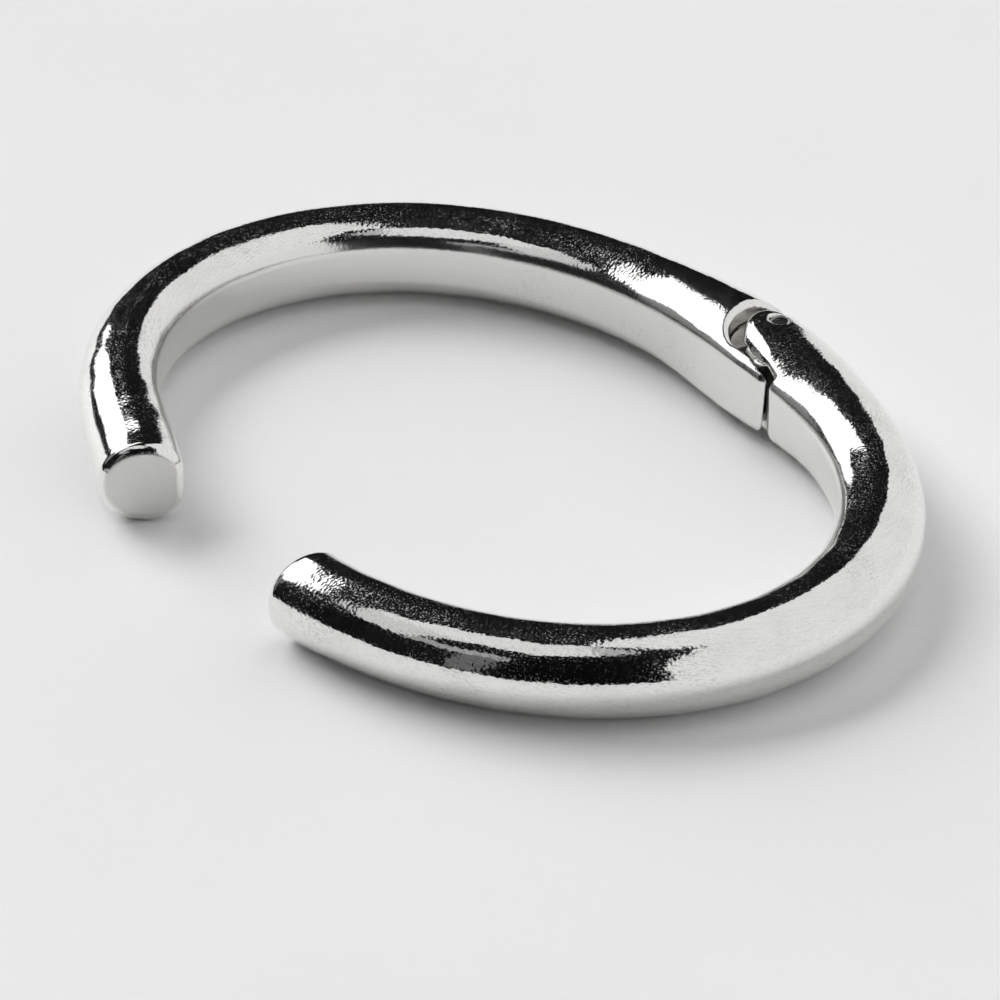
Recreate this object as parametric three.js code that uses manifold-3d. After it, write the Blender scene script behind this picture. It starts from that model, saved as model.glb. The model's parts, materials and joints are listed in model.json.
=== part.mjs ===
// Hinged open bangle: two arms on a sprung hinge, with a gap between their tips.
// Millimetres. The bangle lies on z = 0, with the hinge towards +Y and the gap towards -Y.
// The origin is the centre of its outline on the plane that it lies on.

import * as THREE from "three";
import { mergeVertices } from "three/addons/utils/BufferGeometryUtils.js";
import Module from "manifold-3d";

const wasm = await Module();
wasm.setup();

// Driving dimensions

// The oval centreline: half sizes from the middle of the wrist opening, and how far the ends of
// the two arms stray outward from it
const ringHalfLength = 32.8;
const ringHalfWidth = 23.6;
const ringHalfDiagonal = 27.6;
const backTipSpread = 1.1;
const frontTipSpread = -0.45;

// Angles round the ring, from the short axis at the hinge side
const backTipAngle = 152.5;
const frontTipAngle = 164.3;
const pinAngle = 7.5;
const sideAngle = 90;

// Arm section: how far it reaches out and in from the centreline, its height, the flat of its inner face
const rootOuterReach = 3.0;
const rootInnerReach = 3.45;
const rootHeight = 7.0;
const rootFlat = 2.9;
const tipOuterReach = 3.45;
const tipInnerReach = 3.0;
const tipHeight = 6.5;
const tipFlat = 1.9;
const tipEdgeRadius = 0.8;
const restBandWidth = 0.9;

// The swell of the arms round the hinge
const swellOuter = 0.55;
const swellInner = 1.15;
const swellHeight = 0.45;
const swellFlat = 1.2;
const swellAngle = 21;

// The waist of the back arm, on its inner side before its tip
const waistDepth = 0.45;
const waistPlaceShare = 0.78;
const waistSpreadShare = 0.16;

// Hinge
const pinRadius = 0.75;
const pinOutset = 0.6;
const pinRecess = 0.3;
const pinChamfer = 0.15;
const pinDimpleDepth = 0.12;
const boreClearance = 0.06;
const noseRadius = 2.35;
const noseForward = 0.25;
const noseInset = 0.5;
const shoulderRadius = 2.7;
const cupRadius = 3.75;
const cupForward = 0.6;
const cupInset = 0.5;
const earThickness = 1.6;
const layerClearance = 0.12;

// Lip of the back arm, which covers the hinge on the inner face
const lipReach = 4.0;
const lipTipThickness = 0.5;
const lipEdgeRadius = 0.2;
const lipGap = 0.35;
const seamGap = 0.4;

// Tongue, brazed into the back arm, which the pin passes through
const tongueRadius = 1.75;
const shankOuterHalf = 0.9;
const shankTailHalf = 0.6;
const shankLength = 3.4;
const tongueSideGap = 0.3;
const brazeGap = 0.1;

// Torsion spring round the pin
const springWire = 0.45;
const springTurns = 2;
const springTurnGap = 0.42;
const springPinClearance = 0.23;
const springWellClearance = 0.1;
const springLegClearance = 0.2;
const springBackLeg = 3.6;
const springFrontLeg = 4.4;

// Angles of the hinge's faces, from the direction of the front arm: the head's about the middle of
// the cup, and the others about the pin
const shoulderAngle = 120;
const shoulderEndAngle = 70;
const noseTopAngle = 128;
const slotEndAngle = 110;
const headTurnAngle = 152;
const headOuterAngle = 150;
const headInnerAngle = 248;

// Fineness
const stationsPerArm = 58;
const outerSteps = 14;
const cornerSteps = 6;
const tipSteps = 4;
const arcStep = 6;
const wireSides = 6;
const stepsPerTurn = 24;
const slopeStep = 0.05;
const cutOverrun = 12;

// Sizes that follow from the driving ones

const ringMean = (ringHalfLength + ringHalfWidth + 2 * ringHalfDiagonal) / 4;
const ringOval = (ringHalfLength - ringHalfWidth) / 2;
const ringShoulder = (ringHalfLength + ringHalfWidth - 2 * ringHalfDiagonal) / 4;
const radians = THREE.MathUtils.degToRad;

// The ring

// How far an arm's end strays outward from the oval: a slight draw-in past the bangle's side, then
// the full spread at the tip. Angles are positive towards the back arm.
function tipStray(angle) {
  const [tip, spread] = angle > 0 ? [backTipAngle, backTipSpread] : [frontTipAngle, frontTipSpread];
  const share = Math.max(Math.abs(angle) - radians(sideAngle), 0) / radians(tip - sideAngle);
  return spread * (3 * share ** 5 - 2 * share ** 3);
}

// Centreline radius at an angle round the ring.
function ringRadius(angle) {
  const oval = ringMean - ringOval * Math.cos(2 * angle) + ringShoulder * Math.cos(4 * angle);
  return oval + tipStray(angle);
}

function ringRadiusSlope(angle) {
  const step = radians(slopeStep);
  return (ringRadius(angle + step) - ringRadius(angle - step)) / (2 * step);
}

// Point of the centreline, direction towards the back arm, outward direction, and length per radian.
function ringFrame(angle) {
  const radius = ringRadius(angle);
  const slope = ringRadiusSlope(angle);
  const sine = Math.sin(angle);
  const cosine = Math.cos(angle);
  const point = new THREE.Vector2(-radius * sine, radius * cosine);
  const along = new THREE.Vector2(-slope * sine - radius * cosine, slope * cosine - radius * sine);
  const speed = along.length();
  along.divideScalar(speed);
  const outward = new THREE.Vector2(along.y, -along.x);
  return { point, along, outward, speed };
}

// Share of the hinge's swell at an angle: 1 at the pin, fading out on both sides.
function swellShare(angle) {
  const distance = (angle + radians(pinAngle)) / radians(swellAngle);
  return Math.exp(-distance * distance);
}

// Share of the back arm's waist at an angle: 1 at its thinnest place, and none on the front arm.
function waistShare(angle) {
  const distance = (angle / radians(backTipAngle) - waistPlaceShare) / waistSpreadShare;
  return Math.exp(-distance * distance);
}

// Sizes of the arm's section at an angle.
function armSizes(angle, tipAngle) {
  const toTip = Math.min(Math.abs(angle / tipAngle), 1);
  const swell = swellShare(angle);
  const waist = waistDepth * waistShare(angle);
  const blend = THREE.MathUtils.lerp;
  return {
    outer: blend(rootOuterReach, tipOuterReach, toTip) + swellOuter * swell,
    inner: blend(rootInnerReach, tipInnerReach, toTip) + swellInner * swell - waist,
    height: blend(rootHeight, tipHeight, toTip) + swellHeight * swell,
    flat: blend(rootFlat, tipFlat, toTip) + swellFlat * swell,
  };
}

// Outline of the section: a round outer side, soft corners and a flat inner face.
// x is outward from the centreline, y is up from the plane that the bangle lies on.
function sectionOutline({ outer, inner, height, flat }) {
  const half = height / 2;
  const cornerHeight = half - flat / 2;
  const outline = [new THREE.Vector2(restBandWidth / 2, 0)];
  for (let step = 1; step < outerSteps; step += 1) {
    const turn = Math.PI * (step / outerSteps - 0.5);
    outline.push(new THREE.Vector2(outer * Math.cos(turn), half + half * Math.sin(turn)));
  }
  for (let step = 0; step <= cornerSteps; step += 1) {
    const turn = (Math.PI / 2) * (step / cornerSteps);
    const level = half + flat / 2 + cornerHeight * Math.cos(turn);
    outline.push(new THREE.Vector2(-inner * Math.sin(turn), level));
  }
  for (let step = cornerSteps; step > 0; step -= 1) {
    const turn = (Math.PI / 2) * (step / cornerSteps);
    const level = cornerHeight * (1 - Math.cos(turn));
    outline.push(new THREE.Vector2(-inner * Math.sin(turn), level));
  }
  outline.push(new THREE.Vector2(-restBandWidth / 2, 0));
  return outline;
}

// The outline drawn in by an inset on every side, about its middle.
function insetOutline(outline, sizes, inset) {
  const middle = new THREE.Vector2((sizes.outer - sizes.inner) / 2, sizes.height / 2);
  const scaleAcross = 1 - (2 * inset) / (sizes.outer + sizes.inner);
  const scaleUp = 1 - (2 * inset) / sizes.height;
  return outline.map((corner) => new THREE.Vector2(
    middle.x + (corner.x - middle.x) * scaleAcross,
    middle.y + (corner.y - middle.y) * scaleUp,
  ));
}

// One ring of points of an arm, at an angle round the bangle.
function armRing(angle, tipAngle, inset) {
  const sizes = armSizes(angle, tipAngle);
  const frame = ringFrame(angle);
  return insetOutline(sectionOutline(sizes), sizes, inset).map((corner) => new THREE.Vector3(
    frame.point.x + frame.outward.x * corner.x,
    frame.point.y + frame.outward.y * corner.x,
    corner.y,
  ));
}

// Rings of an arm from its root, past the hinge, to its tip, whose edge is rounded over.
function armRings(rootAngle, tipAngle) {
  const rings = [];
  const tipSpeed = ringFrame(tipAngle).speed;
  const edgeAngle = Math.sign(tipAngle) * (tipEdgeRadius / tipSpeed);
  const edgeStart = tipAngle - edgeAngle;
  for (let station = 0; station <= stationsPerArm; station += 1) {
    const angle = rootAngle + (edgeStart - rootAngle) * (station / stationsPerArm);
    rings.push(armRing(angle, tipAngle, 0));
  }
  for (let step = 1; step <= tipSteps; step += 1) {
    const turn = (Math.PI / 2) * (step / tipSteps);
    const inset = tipEdgeRadius * (1 - Math.cos(turn));
    rings.push(armRing(edgeStart + edgeAngle * Math.sin(turn), tipAngle, inset));
  }
  return rings;
}

// Closed geometry

// Signed volume of an indexed geometry, positive where its faces point out.
function signedVolume(positions, indices) {
  let total = 0;
  const a = new THREE.Vector3();
  const b = new THREE.Vector3();
  const c = new THREE.Vector3();
  for (let face = 0; face < indices.length; face += 3) {
    a.fromArray(positions, 3 * indices[face]);
    b.fromArray(positions, 3 * indices[face + 1]);
    c.fromArray(positions, 3 * indices[face + 2]);
    total += a.dot(b.cross(c));
  }
  return total / 6;
}

// Skin over a row of rings with as many points each, closed by a flat cap at both ends.
function loft(rings) {
  const sides = rings[0].length;
  const positions = rings.flat().flatMap((corner) => corner.toArray());
  const indices = [];
  for (let ring = 0; ring + 1 < rings.length; ring += 1) {
    for (let side = 0; side < sides; side += 1) {
      const next = (side + 1) % sides;
      const low = ring * sides;
      const high = low + sides;
      indices.push(low + side, low + next, high + next);
      indices.push(low + side, high + next, high + side);
    }
  }
  const last = (rings.length - 1) * sides;
  for (let side = 1; side + 1 < sides; side += 1) {
    indices.push(0, side + 1, side);
    indices.push(last, last + side, last + side + 1);
  }
  if (signedVolume(positions, indices) < 0) {
    indices.reverse();
  }
  const geometry = new THREE.BufferGeometry();
  geometry.setAttribute("position", new THREE.Float32BufferAttribute(positions, 3));
  geometry.setIndex(indices);
  return geometry;
}

// Solid for cutting and joining, from a closed geometry.
function solidOf(geometry) {
  const bare = geometry.clone();
  bare.deleteAttribute("normal");
  bare.deleteAttribute("uv");
  const merged = mergeVertices(bare);
  return new wasm.Manifold(new wasm.Mesh({
    numProp: 3,
    vertProperties: new Float32Array(merged.attributes.position.array),
    triVerts: new Uint32Array(merged.index.array),
  }));
}

function geometryOf(solid) {
  const mesh = solid.getMesh();
  const geometry = new THREE.BufferGeometry();
  geometry.setAttribute("position", new THREE.BufferAttribute(mesh.vertProperties, 3));
  geometry.setIndex(new THREE.BufferAttribute(mesh.triVerts, 1));
  geometry.computeVertexNormals();
  return geometry;
}

// The hinge's own axes: origin on the pin at z = 0, x towards the front arm, y outward.

const pinStation = -radians(pinAngle);
const pinFrame = ringFrame(pinStation);
const pinSizes = armSizes(pinStation, -radians(frontTipAngle));
const pinPoint = pinFrame.point.clone().addScaledVector(pinFrame.outward, pinOutset);
const hingeTurn = Math.atan2(-pinFrame.along.y, -pinFrame.along.x);
const hingePlacement = new THREE.Matrix4()
  .makeTranslation(pinPoint.x, pinPoint.y, 0)
  .multiply(new THREE.Matrix4().makeRotationZ(hingeTurn));

const hingeHeight = pinSizes.height;
const innerFaceY = -(pinOutset + pinSizes.inner);
const lipEndY = innerFaceY + lipTipThickness;
const cupCentre = new THREE.Vector2(cupForward, -cupInset);
const slotBottom = earThickness;
const slotTop = hingeHeight - earThickness;
const tongueBottom = slotBottom + layerClearance;
const tongueTop = slotTop - layerClearance;

const coilRadius = pinRadius + springPinClearance + springWire / 2;
const coilPitch = springWire + springTurnGap;
const coilRise = springTurns * coilPitch;
const coilBottom = hingeHeight / 2 - coilRise / 2;
const wellBottom = coilBottom - springWire / 2 - springWellClearance;
const wellTop = coilBottom + coilRise + springWire / 2 + springWellClearance;
const wellRadius = coilRadius + springWire / 2 + springLegClearance;

// Straight-sided solid of a plan outline in the hinge's axes, between two levels.
function hingePrism(outline, bottom, top) {
  const geometry = new THREE.ExtrudeGeometry(new THREE.Shape(outline), {
    depth: top - bottom,
    bevelEnabled: false,
  });
  geometry.translate(0, 0, bottom);
  geometry.applyMatrix4(hingePlacement);
  return solidOf(geometry);
}

// Points of an arc about a centre, from one angle in degrees to another.
function arc(centre, radius, from, to) {
  const steps = Math.ceil(Math.abs(to - from) / arcStep);
  return Array.from({ length: steps + 1 }, (unused, step) => {
    const turn = radians(from + ((to - from) * step) / steps);
    return new THREE.Vector2(Math.cos(turn), Math.sin(turn)).multiplyScalar(radius).add(centre);
  });
}

function pinArc(radius, from, to) {
  return arc(new THREE.Vector2(), radius, from, to);
}

function pinBore(bottom, top) {
  return hingePrism(pinArc(pinRadius + boreClearance, 0, 360).slice(1), bottom, top);
}

// Space cut from the back arm: a round cup, open to the front. Its wall runs on into the lip,
// which thins from the cup to its rounded end.
function cupOutline() {
  const edgeCentre = new THREE.Vector2(lipReach - lipEdgeRadius, lipEndY - lipEdgeRadius);
  return [
    new THREE.Vector2(lipReach, innerFaceY - cutOverrun),
    ...arc(edgeCentre, lipEdgeRadius, 0, 90),
    ...arc(cupCentre, cupRadius, 270, 90),
    new THREE.Vector2(cupForward, cupRadius + cutOverrun),
    new THREE.Vector2(lipReach + 2 * cutOverrun, cupRadius + cutOverrun),
    new THREE.Vector2(lipReach + 2 * cutOverrun, innerFaceY - cutOverrun),
  ];
}

// Plan of the front arm's end: a step for the lip, a flank, a round nose, and outside it a
// shoulder about the pin, which turns inside the cup.
function noseOutline(reach) {
  const step = new THREE.Vector2(lipReach + seamGap, lipEndY + lipGap);
  const noseCentre = new THREE.Vector2(noseForward, -noseInset);
  const toStep = step.clone().sub(noseCentre);
  const shoulderEnd = shoulderRadius * Math.cos(radians(shoulderEndAngle));
  const stepTurn = THREE.MathUtils.radToDeg(Math.atan2(toStep.y, toStep.x));
  const flankTurn = THREE.MathUtils.radToDeg(Math.acos(noseRadius / toStep.length()));
  return [
    new THREE.Vector2(reach, innerFaceY - cutOverrun),
    new THREE.Vector2(step.x, innerFaceY - cutOverrun),
    step,
    ...arc(noseCentre, noseRadius, stepTurn - flankTurn, noseTopAngle - 360),
    ...pinArc(shoulderRadius, shoulderAngle, shoulderEndAngle),
    new THREE.Vector2(shoulderEnd, shoulderRadius + cutOverrun),
    new THREE.Vector2(reach, shoulderRadius + cutOverrun),
  ];
}

// Space between the front arm's two ears, which the tongue turns in.
function slotOutline() {
  const slotRadius = tongueRadius + tongueSideGap;
  const slotStart = THREE.MathUtils.radToDeg(Math.acos(tongueSideGap / slotRadius));
  const slotEnd = radians(slotEndAngle);
  const far = shoulderRadius + cutOverrun;
  return [
    new THREE.Vector2(tongueSideGap, innerFaceY - cutOverrun),
    ...pinArc(slotRadius, -slotStart, slotEndAngle),
    new THREE.Vector2(far * Math.cos(slotEnd), far * Math.sin(slotEnd)),
    new THREE.Vector2(-far, far),
    new THREE.Vector2(-far, innerFaceY - cutOverrun),
  ];
}

// Plan of the tongue's shank, which tapers into the back arm's mortise.
function shankOutline(gap) {
  const shankEnd = cupForward - cupRadius - shankLength - gap;
  return [
    new THREE.Vector2(shankEnd, -tongueRadius - gap),
    new THREE.Vector2(0, -tongueRadius - gap),
    new THREE.Vector2(0, shankOuterHalf + gap),
    new THREE.Vector2(shankEnd, shankTailHalf + gap),
  ];
}

// Plan of the tongue's head: round about the pin, and widening to seat against the cup's wall.
function headOutline() {
  return [
    ...pinArc(tongueRadius, -90, headTurnAngle),
    ...arc(cupCentre, cupRadius - brazeGap, headOuterAngle, headInnerAngle),
  ];
}

function boxOutline(left, right, bottom, top) {
  return [
    new THREE.Vector2(left, bottom),
    new THREE.Vector2(right, bottom),
    new THREE.Vector2(right, top),
    new THREE.Vector2(left, top),
  ];
}

// Groove for one of the spring's legs, from the coil outward.
function legGroove(left, right, level) {
  const half = springWire / 2 + springLegClearance;
  const outline = boxOutline(left, right, -coilRadius - half, -coilRadius + half);
  return hingePrism(outline, level - half, level + half);
}

// Pieces

function backArm() {
  const pastLip = Math.asin((lipReach + seamGap + pinPoint.x + lipReach) / ringHalfWidth);
  const raw = solidOf(loft(armRings(-pastLip, radians(backTipAngle))));
  const cup = hingePrism(cupOutline(), -cutOverrun, hingeHeight + cutOverrun);
  const mortise = hingePrism(shankOutline(brazeGap), tongueBottom - brazeGap, tongueTop + brazeGap);
  return raw.subtract(cup).subtract(mortise);
}

function frontArm() {
  const pastNose = Math.asin((2 * noseRadius) / ringHalfWidth);
  const reach = 2 * (ringHalfLength + rootOuterReach);
  const raw = solidOf(loft(armRings(pastNose, -radians(frontTipAngle))));
  const nose = frontSide(reach);
  const slot = hingePrism(slotOutline(), slotBottom, slotTop);
  const groove = legGroove(0, springFrontLeg + springLegClearance, coilBottom + coilRise);
  const bore = pinBore(-cutOverrun, hingeHeight + cutOverrun);
  return raw.subtract(nose).subtract(slot).subtract(groove).subtract(bore);
}

// Everything on the back arm's side of the front arm's end.
function frontSide(reach) {
  const outline = noseOutline(reach);
  const kept = hingePrism(outline, -2 * cutOverrun, hingeHeight + 2 * cutOverrun);
  const block = hingePrism(
    boxOutline(-cutOverrun, cutOverrun, innerFaceY - cutOverrun / 2, shoulderRadius + cutOverrun / 2),
    -cutOverrun,
    hingeHeight + cutOverrun,
  );
  return block.subtract(kept);
}

function hingeTongue() {
  const head = hingePrism(headOutline(), tongueBottom, tongueTop);
  const body = head.add(hingePrism(shankOutline(0), tongueBottom, tongueTop));
  const wellOutline = boxOutline(-wellRadius, cutOverrun, -cutOverrun, cutOverrun);
  const well = hingePrism(wellOutline, wellBottom, wellTop);
  const groove = legGroove(-springBackLeg - springLegClearance, coilRadius, coilBottom);
  const bore = pinBore(-cutOverrun, hingeHeight + cutOverrun);
  return body.subtract(well).subtract(groove).subtract(bore);
}

// Round pin with a bevelled rim and a shallow dimple at both ends.
function hingePin() {
  const bottom = pinRecess;
  const top = hingeHeight - pinRecess;
  const rim = pinRadius - pinChamfer;
  const dimple = rim - pinChamfer;
  const profile = [
    new THREE.Vector2(0, bottom + pinDimpleDepth),
    new THREE.Vector2(dimple, bottom),
    new THREE.Vector2(rim, bottom),
    new THREE.Vector2(pinRadius, bottom + pinChamfer),
    new THREE.Vector2(pinRadius, top - pinChamfer),
    new THREE.Vector2(rim, top),
    new THREE.Vector2(dimple, top),
    new THREE.Vector2(0, top - pinDimpleDepth),
  ];
  const geometry = new THREE.LatheGeometry(profile, 360 / arcStep);
  geometry.rotateX(Math.PI / 2);
  geometry.applyMatrix4(hingePlacement);
  return solidOf(geometry);
}

// Middle line of the spring's wire: a straight leg, the coil, and a straight leg on the far side.
class SpringLine extends THREE.Curve {
  getPoint(share, target = new THREE.Vector3()) {
    const turnLength = Math.hypot(2 * Math.PI * coilRadius, coilPitch);
    const coilLength = springTurns * turnLength;
    const along = share * (springBackLeg + coilLength + springFrontLeg);
    if (along <= springBackLeg) {
      return target.set(along - springBackLeg, -coilRadius, coilBottom);
    }
    if (along >= springBackLeg + coilLength) {
      return target.set(along - springBackLeg - coilLength, -coilRadius, coilBottom + coilRise);
    }
    const turns = (along - springBackLeg) / turnLength;
    const turn = 2 * Math.PI * turns - Math.PI / 2;
    const level = coilBottom + coilPitch * turns;
    return target.set(coilRadius * Math.cos(turn), coilRadius * Math.sin(turn), level);
  }
}

// Points of the spring's line: the ends of its legs, and even steps round its coil.
function springPoints() {
  const line = new SpringLine();
  const turnLength = Math.hypot(2 * Math.PI * coilRadius, coilPitch);
  const total = springBackLeg + springTurns * turnLength + springFrontLeg;
  const steps = springTurns * stepsPerTurn;
  const places = [0, springBackLeg / 2];
  for (let step = 0; step <= steps; step += 1) {
    places.push(springBackLeg + (springTurns * turnLength * step) / steps);
  }
  places.push(total - springFrontLeg / 2, total);
  return places.map((place) => line.getPoint(place / total));
}

// Least gap between two stretches of the wire that lie a quarter turn or more apart along it.
function leastSpringGap(points) {
  const apart = stepsPerTurn / 2;
  let least = Infinity;
  points.forEach((point, index) => {
    for (let other = index + apart; other < points.length; other += 1) {
      least = Math.min(least, point.distanceTo(points[other]) - springWire);
    }
  });
  return least;
}

// Round wire along the line: rings square to it, kept upright by the hinge's axis.
function torsionSpring() {
  const points = springPoints();
  const up = new THREE.Vector3(0, 0, 1);
  const rings = points.map((point, index) => {
    const before = points[Math.max(index - 1, 0)];
    const after = points[Math.min(index + 1, points.length - 1)];
    const along = after.clone().sub(before).normalize();
    const across = along.clone().cross(up).normalize();
    const over = across.clone().cross(along);
    return Array.from({ length: wireSides }, (unused, side) => {
      const turn = (2 * Math.PI * side) / wireSides;
      return point.clone()
        .addScaledVector(across, (springWire / 2) * Math.cos(turn))
        .addScaledVector(over, (springWire / 2) * Math.sin(turn));
    });
  });
  console.log("least gap of the spring to itself", leastSpringGap(points).toFixed(3));
  return solidOf(loft(rings).applyMatrix4(hingePlacement));
}

// Materials

function polishedSilver() {
  return new THREE.MeshStandardMaterial({ color: 0xe6e5e2, roughness: 0.12, metalness: 1 });
}

function dullHingeMetal() {
  return new THREE.MeshStandardMaterial({ color: 0x8d8780, roughness: 0.42, metalness: 1 });
}

function springSteel() {
  return new THREE.MeshStandardMaterial({ color: 0x77797c, roughness: 0.3, metalness: 1 });
}

// Assembly

function piece(name, solid, material) {
  const mesh = new THREE.Mesh(geometryOf(solid), material);
  mesh.name = name;
  return mesh;
}

const pieces = new THREE.Group();
pieces.add(
  piece("back_arm", backArm(), polishedSilver()),
  piece("front_arm", frontArm(), polishedSilver()),
  piece("hinge_tongue", hingeTongue(), dullHingeMetal()),
  piece("hinge_pin", hingePin(), polishedSilver()),
  piece("torsion_spring", torsionSpring(), springSteel()),
);

// The group puts the middle of the bangle's outline on the Z axis.
const outlineMiddle = new THREE.Box3().setFromObject(pieces).getCenter(new THREE.Vector3());
pieces.position.set(-outlineMiddle.x, -outlineMiddle.y, 0);

const bangle = new THREE.Group();
bangle.add(pieces);
const pinAxis = pinPoint.clone().sub(outlineMiddle);
console.log("pin axis", pinAxis.x.toFixed(4), pinAxis.y.toFixed(4));

export default bangle;
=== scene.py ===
import json
import math

import bmesh
import bpy
import numpy as np
from bpy.props import FloatProperty, FloatVectorProperty, IntProperty, PointerProperty
from mathutils import Matrix, Vector


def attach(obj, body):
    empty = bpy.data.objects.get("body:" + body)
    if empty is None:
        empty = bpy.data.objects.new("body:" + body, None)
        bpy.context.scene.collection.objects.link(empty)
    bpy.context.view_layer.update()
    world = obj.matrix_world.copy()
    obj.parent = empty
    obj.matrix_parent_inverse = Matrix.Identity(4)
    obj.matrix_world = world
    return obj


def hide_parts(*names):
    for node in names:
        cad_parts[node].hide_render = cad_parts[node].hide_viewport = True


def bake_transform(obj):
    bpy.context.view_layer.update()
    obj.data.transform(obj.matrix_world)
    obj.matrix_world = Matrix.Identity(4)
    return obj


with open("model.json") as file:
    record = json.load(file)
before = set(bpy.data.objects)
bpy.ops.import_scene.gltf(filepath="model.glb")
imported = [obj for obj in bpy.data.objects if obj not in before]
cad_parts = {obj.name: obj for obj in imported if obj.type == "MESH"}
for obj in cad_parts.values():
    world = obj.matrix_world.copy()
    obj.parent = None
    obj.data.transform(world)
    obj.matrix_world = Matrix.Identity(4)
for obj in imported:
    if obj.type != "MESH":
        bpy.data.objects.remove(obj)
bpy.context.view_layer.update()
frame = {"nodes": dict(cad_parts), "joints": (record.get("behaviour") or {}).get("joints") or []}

bl_info = {
    "name": "Hinged Bangle",
    "version": (1, 0, 0),
    "blender": (4, 5, 0),
    "location": "3D View > Sidebar > Bangle",
    "description": "Builds a polished open bangle with a sprung hinge, and lights it on a pale table",
    "category": "Add Mesh",
}

BACK_BODY = "back_arm_body"
FRONT_BODY = "front_arm_body"


# Properties


def length(name, description, default):
    return FloatProperty(name=name, description=description, default=default, unit="LENGTH", precision=5)


def turn(name, description, degrees):
    return FloatProperty(
        name=name, description=description, default=math.radians(degrees), subtype="ANGLE"
    )


def share(name, description, default, top=1.0):
    return FloatProperty(name=name, description=description, default=default, min=0.0, max=top)


def colour(name, description, default):
    return FloatVectorProperty(
        name=name, description=description, default=default, subtype="COLOR", min=0.0, max=1.0
    )


def four_lengths(name, description, default):
    return FloatVectorProperty(
        name=name, description=description, default=default, size=4, unit="LENGTH", precision=5
    )


class BangleOval(bpy.types.PropertyGroup):
    """Plan of the bangle at the middle of its arms."""

    half_length: length("Half length", "From the middle to the side of the oval", 0.0328)
    half_width: length("Half width", "From the middle to the hinge side of the oval", 0.0236)
    half_diagonal: length("Half diagonal", "From the middle to the oval at 45 degrees", 0.0276)
    back_tip_spread: length("Back tip spread", "How far the back tip strays outward", 0.0011)
    front_tip_spread: length("Front tip spread", "How far the front tip strays outward", -0.00045)
    back_tip: turn("Back tip", "Angle from the hinge side to the back tip", 152.5)
    front_tip: turn("Front tip", "Angle from the hinge side to the front tip", 164.3)
    pin: turn("Pin", "Angle of the pin from the short axis, towards the front arm", 7.5)
    side: turn("Side", "Angle past which the tips stray", 90)


class BangleSection(bpy.types.PropertyGroup):
    """Section of the arms, from the hinge to the tips: reach outward, reach inward, height, and height
    of the flat of the inner face."""

    root: four_lengths("Root", "Section beside the hinge", (0.003, 0.00345, 0.007, 0.0029))
    tip: four_lengths("Tip", "Section at the tips", (0.00345, 0.003, 0.0065, 0.0019))
    tip_edge: length("Tip edge", "Rounding of the edge of the end faces", 0.0008)
    swell: four_lengths("Swell", "Growth of the section at the pin", (0.00055, 0.00115, 0.00045, 0.0012))
    swell_spread: turn("Swell spread", "How far round the oval the swell reaches", 21)
    waist_depth: length("Waist depth", "How much the back arm draws in before its tip", 0.00045)
    waist_place: share("Waist place", "Place of the waist along the back arm", 0.78)
    waist_spread: share("Waist spread", "Spread of the waist along the back arm", 0.16)


class BangleHinge(bpy.types.PropertyGroup):
    """Hinge: cup and lip of the back arm, nose of the front arm, tongue and pin."""

    pin_radius: length("Pin radius", "Radius of the pin", 0.00075)
    pin_outset: length("Pin outset", "How far outward the pin lies from the middle of the arms", 0.0006)
    pin_recess: length("Pin recess", "How far the pin's ends lie below the arms", 0.0003)
    pin_edge: length("Pin edge", "Rounding of the pin's rims", 0.00014)
    pin_dimple: length("Pin dimple", "Depth of the dimple in the pin's ends", 0.00002)
    bore_clearance: length("Bore clearance", "Gap between pin and bore", 0.00006)
    nose_radius: length("Nose radius", "Radius of the front arm's end", 0.00235)
    nose_forward: length("Nose forward", "Middle of the nose, ahead of the pin", 0.00025)
    nose_inset: length("Nose inset", "Middle of the nose, inward of the pin", 0.0005)
    nose_top: turn("Nose top", "Angle at which the nose meets the shoulder", 128)
    shoulder_radius: length("Shoulder radius", "Radius of the shoulder about the pin", 0.0027)
    shoulder: turn("Shoulder", "Angle at which the shoulder starts", 120)
    shoulder_end: turn("Shoulder end", "Angle at which the shoulder ends", 70)
    cup_radius: length("Cup radius", "Radius of the cup that the nose turns in", 0.00375)
    cup_forward: length("Cup forward", "Middle of the cup, ahead of the pin", 0.0006)
    cup_inset: length("Cup inset", "Middle of the cup, inward of the pin", 0.0005)
    ear: length("Ear thickness", "Height of each ear of the nose", 0.0016)
    layer_gap: length("Layer gap", "Gap between the tongue and each ear", 0.00012)
    lip_reach: length("Lip reach", "How far the lip runs past the pin", 0.004)
    lip_tip: length("Lip tip", "Thickness of the lip at its end", 0.0005)
    lip_gap: length("Lip gap", "Gap between the lip and the step behind it", 0.00035)
    seam_gap: length("Seam gap", "Gap at the end of the lip", 0.0004)
    tongue_radius: length("Tongue radius", "Radius of the tongue's eye", 0.00175)
    tongue_gap: length("Tongue gap", "Gap between the tongue's eye and the slot", 0.0003)
    slot_end: turn("Slot end", "Angle at which the slot between the ears ends", 110)
    shank_outer: length("Shank outer half", "Outer half width of the tongue's shank", 0.0009)
    shank_tail: length("Shank tail half", "Outer half width at the end of the shank", 0.0006)
    shank_length: length("Shank length", "Length of the shank past the cup", 0.0034)
    head_turn: turn("Head turn", "Angle at which the tongue's head widens", 152)
    head_outer: turn("Head outer", "Angle at which the head meets the cup outside", 150)
    head_inner: turn("Head inner", "Angle at which the head meets the cup inside", 248)
    braze_gap: length("Braze gap", "Gap between the tongue and the back arm", 0.0001)


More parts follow.
